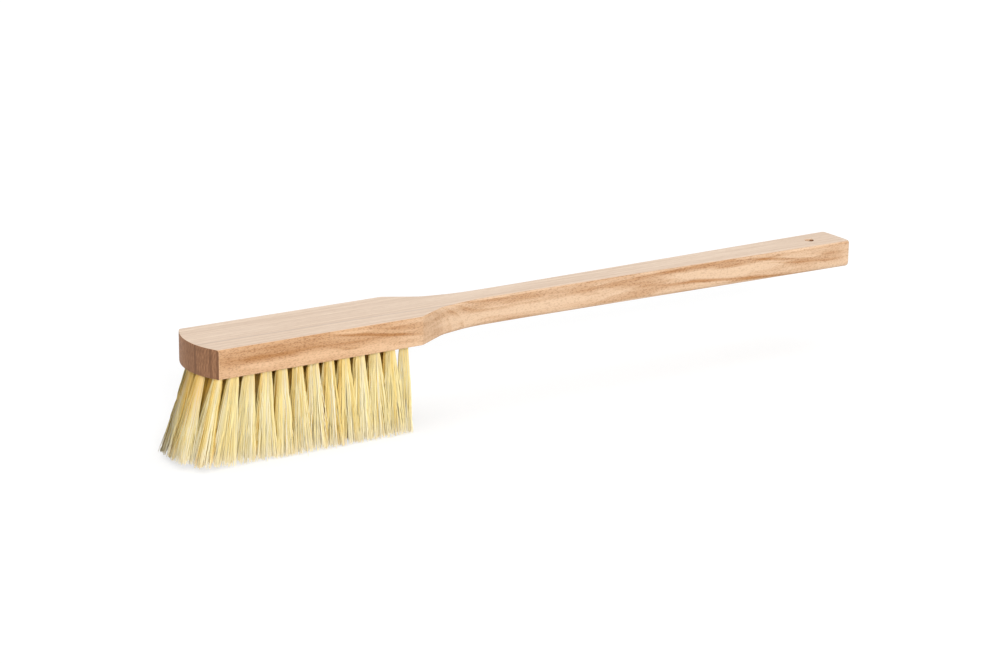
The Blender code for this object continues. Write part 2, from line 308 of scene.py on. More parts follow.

# The top and the underside: a pale wood, partly the wood's own colour and partly painted sheen,
# how much each kind of mark shows, and one dark vein
TOP_WOOD_AND_SHEEN = (0.90, 0.725, 0.575)
TOP_LINE = (0.63, 0.455, 0.33)
TOP_VEIN = (0.60, 0.46, 0.37)
TOP_STREAKS = (0.35, 0.65, 0.0, 0.46)
TOP_RINGS_SHARE = 0.25
TOP_FINE_LINES = (0.35, 0.75, 0.0, 0.34)
TOP_DASHES = (0.50, 0.66, 0.0, 0.22)
TOP_VEIN_Y = -9.4
TOP_VEIN_SLOPE = -0.015
TOP_VEIN_SHARE = 0.6
# A vein fades out over these distances from its middle
VEIN_FADE = (0.2, 1.3)

# The sides: the head's wood by X, and how dark each kind of mark is. Rings are fainter on a
# face that looks along X, as painted light that pales the shoulder's faces, the head is darker
# towards its top, and flecks show more on dark.
SIDE_WOOD = (0.80, 0.525, 0.315)
HANDLE_WOOD = (0.775, 0.548, 0.365)
SIDE_DARK = (0.47, 0.225, 0.085)
FLECK = (0.28, 0.11, 0.038)
HEAD_WOOD_BY_X = (100.0, 190.0, 1.0, 0.0)
SIDE_RINGS = (0.10, 0.35, 0.30, 0.10)
SIDE_PATCHES = (0.35, 0.7, 0.02, 0.32)
HEAD_DARK = (4.0, 11.0, 0.10, 0.24)
FLECK_RISE = (0.48, 0.66)
SIDE_FLECKS = (0.0, 0.8, 0.22, 0.58)
STROKE_WOBBLE = 2.4
# A stroke fades out over these shares of its half size
STROKE_FADE_SHARES = (0.3, 1.4)
# Darker and paler strokes of the figure on the sides: X and Z of the middle, slope, half
# length, half height and strength
STROKES = (
    (42.0, 12.0, 0.0, 40.0, 3.8, 0.36),
    (60.0, 4.0, 0.0, 70.0, 3.0, -0.05),
    (94.0, 6.5, -0.15, 12.0, 0.8, 0.25),
    (116.0, 11.8, -0.135, 36.0, 1.1, 0.55),
    (108.0, 15.2, -0.10, 26.0, 0.8, -0.20),
    (146.0, 13.0, -0.05, 20.0, 2.4, 0.25),
    (235.0, 14.8, 0.0, 60.0, 2.6, 0.30),
    (235.0, 7.8, 0.0, 64.0, 2.4, -0.50),
    (322.0, 13.2, 0.0, 28.0, 3.8, 0.38),
    (374.0, 16.4, 0.0, 36.0, 2.4, 0.50),
    (395.0, 10.2, -0.03, 42.0, 2.7, -0.75),
    (383.0, 5.6, -0.06, 46.0, 1.2, 0.64),
    (436.0, 13.6, -0.11, 42.0, 1.1, 0.52),
    (458.0, 9.4, -0.08, 30.0, 1.0, 0.44),
    (430.0, 2.0, -0.02, 46.0, 0.9, 0.45),
    (484.0, 10.0, -0.10, 12.0, 6.0, 0.28),
)

# The ends, which have painted shade towards -Y and dark veins up them
END_WOOD = (0.51, 0.252, 0.125)
END_LINE = (0.16, 0.072, 0.034)
END_PORES = (0.35, 0.7, 0.0, 0.7)
END_RINGS_SHARE = 0.5
END_PAINTED_SHADE_BY_Y = (-2.0, 9.0, 0.38, 0.0)
END_VEINS_Y = (-9.0, -21.4, -25.8)
END_VEIN_SHARE = 0.7

# How much of the side a face shows rather than the top, by how far it looks up or down, and
# how much of the end, by how far it looks along X
SIDE_BY_FACING_Z = (0.90, 0.975, 1.0, 0.0)
END_BY_FACING_X = (0.55, 0.80)

BEECH_ROUGHNESS = (0.3, 0.7, 0.56, 0.68)
BEECH_SPECULAR = 0.3
RELIEF_STRENGTH = 0.25
RELIEF_DEPTH = 0.15 * MM
FLECK_RELIEF_SHARE = 0.4


def late_wood(nodes, radius):
    """How far the wood this far from the pith is into the dark end of its year."""
    age = nodes.math("ADD", nodes.math("DIVIDE", radius, RING_SPACING), RING_PHASE_SHARE)
    in_ring = nodes.math("FRACT", age)
    rise = nodes.ease(in_ring, *LATE_WOOD_RISE)
    late = nodes.math("MULTIPLY", rise, nodes.ease(in_ring, *LATE_WOOD_FALL))
    year = nodes.vector(nodes.math("FLOOR", age), *YEAR_SEED)
    chance = nodes.add("ShaderNodeTexWhiteNoise", {"Vector": year}, noise_dimensions="3D")
    strength = nodes.ease(chance.outputs["Value"], *YEAR_STRENGTH)
    return nodes.math("MULTIPLY", late, strength)


def growth_rings(nodes, xyz, ripple):
    """Rings round a pith that lies beside the board."""
    _, y, z = xyz
    out_y = nodes.math("SUBTRACT", y, PITH_Y)
    out_z = nodes.math("SUBTRACT", z, PITH_Z)
    squares = nodes.math(
        "ADD", nodes.math("MULTIPLY", out_y, out_y), nodes.math("MULTIPLY", out_z, out_z)
    )
    wander = nodes.drift(xyz, WANDER_NOISE, RING_WANDER)
    uneven = nodes.math("ADD", wander, ripple)
    return late_wood(nodes, nodes.math("ADD", nodes.math("SQRT", squares), uneven))


def vein(nodes, colour, y, vein_y, share, vein_colour):
    """The colour with a thin dark line along it, where Y is vein_y."""
    from_vein = nodes.math("ABSOLUTE", nodes.math("SUBTRACT", y, vein_y))
    return nodes.mix(nodes.ease(from_vein, *VEIN_FADE, share, 0.0), colour, vein_colour)


def top_colour(nodes, xyz, late, fine, ripple):
    """Fine straight lines and short dashes, and one dark vein."""
    x, y, _ = xyz
    streaks = nodes.ease(nodes.grain(xyz, STREAK_NOISE), *TOP_STREAKS)
    dashes = nodes.ease(nodes.grain(xyz, DASH_NOISE), *TOP_DASHES)
    # Partly painted sheen: the top and the underside are paler and greyer than the sides
    colour = nodes.mix(streaks, TOP_WOOD_AND_SHEEN, TOP_LINE)
    colour = nodes.mix(nodes.math("MULTIPLY", late, TOP_RINGS_SHARE), colour, TOP_LINE)
    colour = nodes.mix(nodes.ease(fine, *TOP_FINE_LINES), colour, TOP_LINE)
    colour = nodes.mix(dashes, colour, TOP_LINE)
    vein_y = nodes.math("ADD", nodes.math("MULTIPLY", x, TOP_VEIN_SLOPE), TOP_VEIN_Y)
    vein_y = nodes.math("ADD", vein_y, ripple)
    return vein(nodes, colour, y, vein_y, TOP_VEIN_SHARE, TOP_VEIN)


def side_colour(nodes, xyz, late, flecks, facing_x):
    """Broad figure in soft strokes, over faint rings, with short dark flecks."""
    x, _, z = xyz
    in_head = nodes.ease(x, *HEAD_WOOD_BY_X)
    wobble = nodes.drift(xyz, WOBBLE_NOISE, STROKE_WOBBLE)
    # Painted light: rings fade on faces that look along X, so the shoulder's faces are paler
    dark = nodes.math("MULTIPLY", late, nodes.ease(facing_x, *SIDE_RINGS))
    patches = nodes.ease(nodes.grain(xyz, PATCH_NOISE), *SIDE_PATCHES)
    dark = nodes.math("ADD", dark, patches)
    head_dark = nodes.math("MULTIPLY", in_head, nodes.ease(z, *HEAD_DARK))
    dark = nodes.math("ADD", dark, head_dark)
    for at_x, at_z, slope, half_length, half_height, strength in STROKES:
        from_x = nodes.math("SUBTRACT", x, at_x)
        from_z = nodes.math("SUBTRACT", nodes.math("ADD", z, wobble), at_z)
        from_z = nodes.math("SUBTRACT", from_z, nodes.math("MULTIPLY", from_x, slope))
        in_stroke = nodes.stretched((from_x, from_z), (half_length, half_height))
        away = nodes.add("ShaderNodeVectorMath", {0: in_stroke}, operation="LENGTH")
        stroke = nodes.ease(away.outputs["Value"], *STROKE_FADE_SHARES, strength, 0.0)
        dark = nodes.math("ADD", dark, stroke)
    # The sum is below 0 or above 1 in places
    dark = nodes.math("ADD", dark, 0.0, clamp=True)
    plain = nodes.mix(in_head, HANDLE_WOOD, SIDE_WOOD)
    colour = nodes.mix(dark, plain, SIDE_DARK)
    fleck_share = nodes.math("MULTIPLY", flecks, nodes.ease(dark, *SIDE_FLECKS))
    return nodes.mix(fleck_share, colour, FLECK)


def end_colour(nodes, xyz, late):
    """Dark end grain with upright lines."""
    _, y, _ = xyz
    pores = nodes.ease(nodes.grain(xyz, PORE_NOISE), *END_PORES)
    colour = nodes.mix(pores, END_WOOD, END_LINE)
    colour = nodes.mix(nodes.math("MULTIPLY", late, END_RINGS_SHARE), colour, END_LINE)
    # Painted shade: the ends are darker towards -Y
    colour = nodes.mix(nodes.ease(y, *END_PAINTED_SHADE_BY_Y), colour, END_LINE)
    for vein_y in END_VEINS_Y:
        colour = vein(nodes, colour, y, vein_y, END_VEIN_SHARE, END_LINE)
    return colour


def beech_material():
    """One solid grain right through the board. The way that a face looks decides whether it
    shows as lines on the top, as figure on the sides or as dark end grain."""
    material, nodes = new_material("beech")
    coordinates = nodes.add("ShaderNodeTexCoord").outputs
    in_mm = {0: coordinates["Object"], "Scale": 1 / MM}
    scaled = nodes.add("ShaderNodeVectorMath", in_mm, operation="SCALE").outputs[0]
    place = nodes.add("ShaderNodeSeparateXYZ", {0: scaled}).outputs
    normal = nodes.add("ShaderNodeSeparateXYZ", {0: coordinates["Normal"]}).outputs
    x = nodes.math("SUBTRACT", place["X"], BOARD_LOW.x / MM)
    z = nodes.math("SUBTRACT", place["Z"], BOARD_LOW.z / MM)
    xyz = (x, place["Y"], z)
    facing_x = nodes.math("ABSOLUTE", normal["X"])
    facing_z = nodes.math("ABSOLUTE", normal["Z"])

    ripple = nodes.drift(xyz, RIPPLE_NOISE, RING_RIPPLE)
    late = growth_rings(nodes, xyz, ripple)
    fine = nodes.grain(xyz, FINE_NOISE)
    flecks = nodes.ease(nodes.grain(xyz, FLECK_NOISE), *FLECK_RISE)
    top = top_colour(nodes, xyz, late, fine, ripple)
    side = side_colour(nodes, xyz, late, flecks, facing_x)
    end = end_colour(nodes, xyz, late)
    colour = nodes.mix(nodes.ease(facing_z, *SIDE_BY_FACING_Z), top, side)
    colour = nodes.mix(nodes.ease(facing_x, *END_BY_FACING_X), colour, end)

    relief = nodes.math("ADD", fine, nodes.math("MULTIPLY", flecks, FLECK_RELIEF_SHARE))
    bump = {"Strength": RELIEF_STRENGTH, "Distance": RELIEF_DEPTH, "Height": relief}
    finish_material(
        nodes,
        Base_Color=colour,
        Roughness=nodes.ease(fine, *BEECH_ROUGHNESS),
        Specular_IOR_Level=BEECH_SPECULAR,
        Normal=nodes.add("ShaderNodeBump", bump).outputs[0],
    )
    return material


# Plant fibre, from the darkest shade to the palest
FIBRE_SHADES = (
    (0.00, (0.54, 0.30, 0.055)),
    (0.20, (0.83, 0.55, 0.14)),
    (0.42, (0.95, 0.75, 0.30)),
    (0.68, (0.98, 0.85, 0.46)),
    (1.00, (0.99, 0.91, 0.70)),
)
# Painted shade near the board, for the roots and for the inner rows, and a paler tip
FIBRE_ROOT_PAINTED_SHADE = (0.92, 0.66, 0.24)
FIBRE_INNER_PAINTED_SHADE = (0.97, 0.54, 0.08)
FIBRE_TIP_TINT = (0.98, 0.88, 0.70)
# How much each tint and each painted shade shows along a fibre, from its root at 0 to its tip at
# 1
FIBRE_ROOT_SHADE_SHOWS = (0.0, 0.40, 0.42, 0.0)
FIBRE_INNER_SHADE_SHOWS = (0.15, 0.70, 0.80, 0.0)
FIBRE_TIP_SHOWS = (0.80, 1.0, 0.0, 0.40)
FIBRE_ROUGHNESS = 0.6
FIBRE_SPECULAR = 0.06


def fibre_material():
    """Each fibre has its own shade. Fibres are deeper in colour near the root and paler at the
    tip, and those of the inner rows are deeper over their upper part. Both deeper colours are
    painted shade."""
    material, nodes = new_material("plant_fibre")
    shade = nodes.add("ShaderNodeAttribute", attribute_name="shade").outputs["Fac"]
    along = nodes.add("ShaderNodeAttribute", attribute_name="along").outputs["Fac"]
    inner = nodes.add("ShaderNodeAttribute", attribute_name="inner").outputs["Fac"]
    colour = nodes.ramp(shade, FIBRE_SHADES)
    # Painted shade near the root, under the board
    colour = nodes.mix(nodes.ease(along, *FIBRE_ROOT_SHADE_SHOWS), colour, FIBRE_ROOT_PAINTED_SHADE)
    colour = nodes.mix(nodes.ease(along, *FIBRE_TIP_SHOWS), colour, FIBRE_TIP_TINT)
    # Painted shade over the upper part of the inner rows' fibres, which lie in the outer rows'
    # shadow
    inner_share = nodes.math("MULTIPLY", inner, nodes.ease(along, *FIBRE_INNER_SHADE_SHOWS))
    colour = nodes.mix(inner_share, colour, FIBRE_INNER_PAINTED_SHADE)
    finish_material(
        nodes, Base_Color=colour, Roughness=FIBRE_ROUGHNESS, Specular_IOR_Level=FIBRE_SPECULAR
    )
    return material


STEEL_DARK = (0.46, 0.47, 0.48)
STEEL_PALE = (0.62, 0.63, 0.64)
STEEL_CLOUDS_PER_METRE = 900.0
STEEL_ROUGHNESS = (0.3, 0.7, 0.3, 0.5)


def steel_material():
    material, nodes = new_material("galvanised_steel")
    place = nodes.add("ShaderNodeTexCoord").outputs["Object"]
    inputs = {"Vector": place, "Scale": STEEL_CLOUDS_PER_METRE}
    cloud = nodes.add("ShaderNodeTexNoise", inputs).outputs["Fac"]
    colour = nodes.mix(cloud, STEEL_DARK, STEEL_PALE)
    roughness = nodes.ease(cloud, *STEEL_ROUGHNESS)
    finish_material(nodes, Base_Color=colour, Metallic=1.0, Roughness=roughness)
    return material


def object_from_bmesh(name, bm, material):
    bmesh.ops.recalc_face_normals(bm, faces=bm.faces)
    mesh = bpy.data.meshes.new(name)
    bm.to_mesh(mesh)
    bm.free()
    mesh.materials.append(material)
    obj = bpy.data.objects.new(name, mesh)
    bpy.context.scene.collection.objects.link(obj)
    return obj


def bulged_end(half_width, bulge, side_inset, steps, corner_steps):
    """Points of half of a bulged end face, from its middle to its corner, as distances
    (in from the end, out from the middle). The side's inset makes the arc shorter, and the
    corner's own steps are left out."""
    radius = (half_width**2 + bulge**2) / (2 * bulge)
    reach = half_width - side_inset
    outs = [reach * step / steps for step in (*range(steps - corner_steps + 1), steps)]
    return [(radius - math.sqrt(radius**2 - out**2), out) for out in outs]


def fillet_points(before, corner, after, radius, steps):
    """The corner of a path, rounded to this radius as far as its two sides allow."""
    to_before = before - corner
    to_after = after - corner
    turn = math.pi - to_before.angle(to_after)
    reach = min(radius * math.tan(turn / 2), to_before.length / 2, to_after.length / 2)
    start = corner + to_before.normalized() * reach
    end = corner + to_after.normalized() * reach
    inward = (to_before.normalized() + to_after.normalized()).normalized()
    centre = corner + inward * reach / math.sin(turn / 2)
    from_centre = start - centre
    side = 1 if from_centre.cross(end - centre) > 0 else -1
    turns = [Matrix.Rotation(side * turn * step / steps, 2) for step in range(steps + 1)]
    return [centre + rotation @ from_centre for rotation in turns]


def edge_radius(x, at_top):
    """The long edges are rounded alike all along the top. Under the head they are crisp, and
    they soften through the shoulder and the waist to the handle."""
    if at_top:
        return TOP_EDGE_RADIUS
    share = min(max((x - HEAD_LENGTH) / (SHOULDER_RUN + WAIST_RUN), 0.0), 1.0)
    return HEAD_UNDERSIDE_RADIUS + (HANDLE_UNDERSIDE_RADIUS - HEAD_UNDERSIDE_RADIUS) * share


def half_outline(in_share, at_top):
    """The +Y half of one ring of the board, from the tip of the head to the handle's end,
    inset by this share of the rounded edges."""

    def side_corner(x, half_width, radius):
        return (x, half_width - edge_radius(x, at_top) * in_share, radius)

    length = BOARD_HIGH.x - BOARD_LOW.x
    easing = END_EASING * in_share
    side_inset = edge_radius(0, at_top) * in_share
    head = bulged_end(
        HEAD_HALF_WIDTH, HEAD_BULGE, side_inset, HEAD_ARC_STEPS, HEAD_CORNER_STEPS
    )
    corners = [(inset + easing, out, 0) for inset, out in head]
    corners[-1] = (*corners[-1][:2], HEAD_CORNER_RADIUS)
    waist_start = HEAD_LENGTH + SHOULDER_RUN
    neck_start = waist_start + WAIST_RUN
    neck_end = neck_start + NECK_RUN
    corners.append(side_corner(HEAD_LENGTH, HEAD_HALF_WIDTH, SHOULDER_RADIUS))
    corners.append(side_corner(waist_start, WAIST_WIDTH / 2, WAIST_RADIUS))
    corners.append(side_corner(neck_start, NECK_WIDTH / 2, NECK_START_RADIUS))
    corners.append(side_corner(neck_end, NECK_WIDTH / 2, NECK_END_RADIUS))
    corners.append(side_corner(neck_end + SWELL_RUN, SWELL_WIDTH / 2, SWELL_RADIUS))
    side_inset = edge_radius(length, at_top) * in_share
    end = bulged_end(
        HANDLE_END_WIDTH / 2, HANDLE_END_BULGE, side_inset, END_ARC_STEPS, END_CORNER_STEPS
    )
    end = [(length - easing - inset, out, 0) for inset, out in reversed(end)]
    corners.append((*end[0][:2], HANDLE_END_CORNER_RADIUS))
    corners += end[1:]

    places = [Vector(corner[:2]) for corner in corners]
    outline = [places[0]]
    for index in range(1, len(corners) - 1):
        radius = corners[index][2]
        if radius:
            outline += fillet_points(*places[index - 1 : index + 2], radius, FILLET_STEPS)
        else:
            outline.append(places[index])
    return outline + [places[-1]]


def full_outline(in_share, at_top):
    """One closed ring, anticlockwise seen from above, starting at the tip of the head."""
    upper = half_outline(in_share, at_top)
    lower = [Vector((point.x, -point.y)) for point in upper[1:-1]]
    return [upper[0]] + lower + [upper[-1]] + upper[-2:0:-1]


def join_rings(bm, low, high):
    for index in range(len(low)):
        after = (index + 1) % len(low)
        bm.faces.new((low[index], low[after], high[after], high[index]))


def add_prism(bm, stations, sides):
    """Adds a closed prism through stations, which are (centre, radius)."""
    rings = []
    for centre, radius in stations:
        angles = [2 * math.pi * (side + 0.5) / sides for side in range(sides)]
        ring = [centre + Vector((math.cos(a), math.sin(a), 0)) * radius for a in angles]
        rings.append([bm.verts.new(place) for place in ring])
    for low, high in zip(rings, rings[1:]):
        join_rings(bm, low, high)
    bm.faces.new(list(reversed(rings[0])))
    bm.faces.new(rings[-1])


def cut(obj, bm):
    """Takes the closed bodies in bm out of obj."""
    cutter = object_from_bmesh("cutter", bm, obj.data.materials[0])
    modifier = obj.modifiers.new("cut", "BOOLEAN")
    modifier.object = cutter
    modifier.operation = "DIFFERENCE"
    modifier.solver = "EXACT"
    evaluated = obj.evaluated_get(bpy.context.evaluated_depsgraph_get())
    cut_mesh = bpy.data.meshes.new_from_object(evaluated)
    obj.modifiers.clear()
    obj.data = cut_mesh
    bpy.data.objects.remove(cutter)


def build_board(material, tufts):
    quarter = [math.pi / 2 * step / EDGE_STEPS for step in range(EDGE_STEPS + 1)]
    profile = [(1 - math.cos(a), 1 - math.sin(a), False) for a in reversed(quarter)]
    profile += [(1 - math.cos(a), 1 - math.sin(a), True) for a in quarter]

    bm = bmesh.new()
    rings = []
    for in_share, face_share, at_top in profile:
        ring = []
        for point in full_outline(in_share, at_top):
            from_face = edge_radius(point.x, at_top) * face_share
            z = BOARD_HIGH.z - from_face if at_top else BOARD_LOW.z + from_face
            ring.append(bm.verts.new((BOARD_LOW.x + point.x, point.y, z)))
        rings.append(ring)
    for low, high in zip(rings, rings[1:]):
        join_rings(bm, low, high)
    bm.faces.new(list(reversed(rings[0])))
    bm.faces.new(rings[-1])
    board = object_from_bmesh("beech_board", bm, material)

    holes = bmesh.new()
    for tuft in tufts:
        mouth = tuft.axis_point(-OVERRUN)
        floor = tuft.axis_point(TUFT_HOLE_DEPTH)
        add_prism(holes, [(mouth, TUFT_HOLE_RADIUS), (floor, TUFT_HOLE_RADIUS)], TUFT_HOLE_SIDES)
    x = BOARD_HIGH.x - HANGING_HOLE_INSET
    wide = HANGING_HOLE_RADIUS + HANGING_HOLE_CHAMFER + OVERRUN
    stations = [
        (Vector((x, 0, BOARD_LOW.z - OVERRUN)), wide),
        (Vector((x, 0, BOARD_LOW.z + HANGING_HOLE_CHAMFER)), HANGING_HOLE_RADIUS),
        (Vector((x, 0, BOARD_HIGH.z - HANGING_HOLE_CHAMFER)), HANGING_HOLE_RADIUS),
        (Vector((x, 0, BOARD_HIGH.z + OVERRUN)), wide),
    ]
    add_prism(holes, stations, HOLE_SIDES)
    cut(board, holes)
    board.data.shade_smooth()
    board.data.set_sharp_from_angle(angle=SHARP_ANGLE)
    weighted = board.modifiers.new("even_shading", "WEIGHTED_NORMAL")
    weighted.keep_sharp = True
    return board


class Tuft:
    """Where one tuft of the frame is: its mouth in the board, and its tips. Its spreads,
    outwards and inner_share depend on the tufts beside it, and find_neighbours sets them."""

    def __init__(self, name, node):
        places = np.array([vert.co for vert in node.data.vertices])
        near_mouth = np.abs(places[:, 2] - BOARD_LOW.z) < LEVEL_TOLERANCE
        at_tips = places[:, 2] < places[:, 2].min() + LEVEL_TOLERANCE
        tips = places[at_tips]
        self.name = name
        self.mouth = places[near_mouth].mean(0)
        self.mouth[2] = BOARD_LOW.z
        self.tip = (tips.min(0) + tips.max(0)) / 2
        self.half_size = (tips.max(0) - tips.min(0))[:2] / 2
        drop = self.mouth - self.tip
        self.slope = -drop[:2] / drop[2]

    def axis_point(self, above_mouth):
        """The middle of the tuft at this height over its mouth."""
        run = -self.slope * above_mouth
        return Vector(self.mouth) + Vector((run[0], run[1], above_mouth))


def find_neighbours(tufts):
    """Works out for each tuft how far its fibres spread towards -X and -Y, and towards +X and
    +Y, which way its normals lean, and how far inside the brush it is."""
    mouths = np.array([tuft.mouth[:2] for tuft in tufts])
    low, high = mouths.min(0), mouths.max(0)
    # The spine is the middle line of the tufts, less half their width at each end
    spine = np.array([[low[0] + high[1], 0], [high[0] - high[1], 0]])
    edge_spreads = [
        [HEAD_END_SPREAD_SHARE, LONG_SIDE_SPREAD_SHARE],
        [SHOULDER_END_SPREAD_SHARE, LONG_SIDE_SPREAD_SHARE],
    ]
    for tuft in tufts:
        room = np.stack([tuft.mouth[:2] - low, high - tuft.mouth[:2]])
        inner = room[:, 1].min() > TUFT_RADIUS
        row = mouths[np.abs(mouths[:, 1] - tuft.mouth[1]) < TUFT_RADIUS, 0]
        room[:, 0] = tuft.mouth[0] - row.min(), row.max() - tuft.mouth[0]
        tuft.spreads = np.where(room > TUFT_RADIUS, NEIGHBOUR_SPREAD_SHARE, edge_spreads)
        tuft.outwards = (tuft.mouth[:2] - tuft.mouth[:2].clip(*spine)) * SPINE_LEAN_SHARE
        at_head_end = tuft.outwards[0] < 0
        tuft.outwards[0] *= HEAD_END_LEAN_SHARE if at_head_end else SHOULDER_END_LEAN_SHARE
        first_in_row = room[0, 0] < TUFT_RADIUS
        tuft.inner_share = inner * (FIRST_TUFT_INNER_SHARE if first_in_row else 1.0)


def tip_places(tuft, roots, draw):
    """Where the tips are, seen from above and measured from the middle of the tuft, and the
    clump that each belongs to. The round mouth opens out to the box of the frame's tips."""
    count = len(roots)
    distances = np.linalg.norm(roots, axis=1, keepdims=True)
    directions = roots / np.maximum(distances, TINY)
    squared = directions / np.abs(directions).max(1, keepdims=True)
    tips = squared * (distances / MOUTH_RADIUS) * tuft.half_size
    tips *= np.where(tips < 0, tuft.spreads[0], tuft.spreads[1])
    tips += draw.normal(0, TIP_JITTER, (count, 2))
    middles = draw.uniform(-1, 1, (TUFT_CLUMPS, 2)) * tuft.half_size
    clumps = np.linalg.norm(tips[:, None] - middles[None], axis=2).argmin(1)
    pulls = draw.uniform(*CLUMP_PULL_RANGE_SHARES, (count, 1))
    tips += (middles[clumps] - tips) * CLUMP_PULL_SHARE * pulls
    strays = draw.random(count) < STRAY_SHARE
    tips[strays] += draw.normal(0, STRAY_JITTER, (strays.sum(), 2))
    return tips, clumps


def drops_to_tips(tuft, roots, tips, clumps, draw):
    """How far below the tuft's mouth each fibre ends, for its length and the way to its tip.
    None reaches the floor."""
    count = len(roots)
    length = np.linalg.norm(tuft.mouth - tuft.tip)
    lengths = length + EXTRA_LENGTH - LENGTH_RANGE * draw.random(count) ** 2
    uneven = draw.normal(0, CLUMP_LENGTH_JITTER, TUFT_CLUMPS).clip(*CLUMP_LENGTH_LIMITS)
    lengths += uneven[clumps]
    short = draw.random(count) < SHORT_SHARE
    lengths[short] *= draw.uniform(*SHORT_LENGTH_SHARES, short.sum())
    run = tips - roots + tuft.slope * (tuft.mouth[2] - tuft.tip[2])
    drops = np.sqrt(np.maximum(lengths**2 - (run**2).sum(1), 0))
    least_heights = LEAST_TIP_HEIGHT + draw.uniform(0, TIP_HEIGHT_RANGE, count)
    return np.minimum(drops, tuft.mouth[2] - least_heights)


def end_paths(tuft, roots, draw):
    """Places along each loose end of the fibres whose roots these are: from its mouth down
    to its tip, as an array (ends, steps, 3), and the clump that each belongs to."""
    count = len(roots)
    tips, clumps = tip_places(tuft, roots, draw)
    drops = drops_to_tips(tuft, roots, tips, clumps, draw)
    bow = draw.normal(0, FIBRE_BOW, (count, 2))
    kink = draw.normal(0, FIBRE_KINK, (count, 2))
    paths = np.zeros((count, FIBRE_STEPS, 3))
    for index, step in enumerate(np.linspace(0, 1, FIBRE_STEPS)):
        level = roots + (tips - roots) * step**FAN_POWER
        level += tuft.slope * drops[:, None] * step
        level += bow * math.sin(math.pi * step) + kink * math.sin(3 * math.pi * step)
        paths[:, index, :2] = level + tuft.mouth[:2]
        paths[:, index, 2] = tuft.mouth[2] - drops * step
    return paths, clumps


def fold_paths(tuft, one_root, other_root, distances):
    """Places along each fibre inside the board, over the anchor from one root to the other.
    Fibres whose roots are further out go round outside the others."""
    full_depths = ANCHOR_DEPTH + ANCHOR_SIZE[2] / 2
    full_depths = full_depths + (FOLD_DEPTH - ANCHOR_DEPTH) * distances / (2 * TUFT_RADIUS)
    paths = np.zeros((len(distances), len(FOLD_STATION_SHARES), 3))
    for index, (across_share, depth_share) in enumerate(FOLD_STATION_SHARES):
        depths = full_depths * depth_share
        roots = one_root if across_share > 0 else other_root
        level = roots * (abs(across_share), 1)
        paths[:, index, :2] = level + tuft.mouth[:2] - tuft.slope * depths[:, None]
        paths[:, index, 2] = tuft.mouth[2] + depths
    return paths


def add_bake_map(mesh, corners, quad_count, cap_count, shades, alongs):
    """In one piece, a fibre's colour goes by its shade and the place along it, so these two
    are its map. A strip of some width keeps each face from having no area in it."""
    across_quads = np.tile((-0.5, 0.5, 0.5, -0.5), quad_count)
    across_caps = np.tile(np.arange(FIBRE_SIDES) / (FIBRE_SIDES - 1) - 0.5, cap_count)
    up_caps = np.tile(np.arange(FIBRE_SIDES) % 2, cap_count)
    u = shades[corners] + BAKE_STRIP * np.concatenate([across_quads, across_caps])
    v = alongs[corners] + BAKE_STRIP * np.concatenate([0 * across_quads, up_caps])
    places = np.stack([u, v], 1).clip(0, 1).astype(np.float32)
    mesh.uv_layers.new(name="OFBake").uv.foreach_set("vector", places.ravel())


def add_attribute(mesh, name, values):
    attribute = mesh.attributes.new(name, "FLOAT", "POINT")
    attribute.data.foreach_set("value", values.astype(np.float32))


def tube_mesh(name, paths, radii, shades, alongs, outwards, material):
    """One mesh of closed tubes, one for each path of an array (tubes, steps, 3). Their
    normals lean outwards, for the soft look that light gives as it passes through fibres."""
    tubes, steps, _ = paths.shape
    tangents = np.gradient(paths, axis=1)
    tangents /= np.maximum(np.linalg.norm(tangents, axis=2, keepdims=True), TINY)
    aside = np.cross(tangents, (0.0, 1.0, 0.0))
    aside /= np.maximum(np.linalg.norm(aside, axis=2, keepdims=True), TINY)
    across = np.cross(tangents, aside)
    sides = np.arange(FIBRE_SIDES) * 2 * math.pi / FIBRE_SIDES
    spokes = aside[:, :, None] * np.cos(sides)[:, None]
    spokes = spokes + across[:, :, None] * np.sin(sides)[:, None]
    rings = paths[:, :, None] + radii[:, :, None, None] * spokes
    points = rings.reshape(-1, 3)
    normals = spokes * (1 - NORMAL_LEAN_SHARE) + outwards[:, :, None] * NORMAL_LEAN_SHARE
    normals /= np.linalg.norm(normals, axis=3, keepdims=True)

    tube, step, side = np.meshgrid(
        np.arange(tubes), np.arange(steps - 1), np.arange(FIBRE_SIDES), indexing="ij"
    )
    after = (side + 1) % FIBRE_SIDES
    ring = (tube * steps + step) * FIBRE_SIDES
    next_ring = ring + FIBRE_SIDES
    quads = np.stack([ring + side, ring + after, next_ring + after, next_ring + side], -1)
    quads = quads.reshape(-1, 4)
    first = np.arange(tubes)[:, None] * steps * FIBRE_SIDES
    last = first + (steps - 1) * FIBRE_SIDES
    caps = np.concatenate([first + np.arange(FIBRE_SIDES)[::-1], last + np.arange(FIBRE_SIDES)])

    mesh = bpy.data.meshes.new(name)
    mesh.vertices.add(len(points))
    mesh.vertices.foreach_set("co", points.astype(np.float32).ravel())
    corners = np.concatenate([quads.ravel(), caps.ravel()])
    totals = np.concatenate([np.full(len(quads), 4), np.full(len(caps), FIBRE_SIDES)])
    mesh.loops.add(len(corners))
    mesh.loops.foreach_set("vertex_index", corners.astype(np.int32))
    mesh.polygons.add(len(totals))
    starts = np.concatenate([[0], np.cumsum(totals)[:-1]])
    mesh.polygons.foreach_set("loop_start", starts.astype(np.int32))
    mesh.update(calc_edges=True)

    vertex_shades = np.repeat(shades, steps * FIBRE_SIDES)
    vertex_alongs = np.tile(np.repeat(alongs, FIBRE_SIDES), tubes)
    add_attribute(mesh, "shade", vertex_shades)
    add_attribute(mesh, "along", vertex_alongs)
    add_bake_map(mesh, corners, len(quads), len(caps), vertex_shades, vertex_alongs)

    mesh.materials.append(material)
    mesh.shade_smooth()
    mesh.normals_split_custom_set_from_vertices(normals.reshape(-1, 3))
    obj = bpy.data.objects.new(name, mesh)
    bpy.context.scene.collection.objects.link(obj)
    return obj


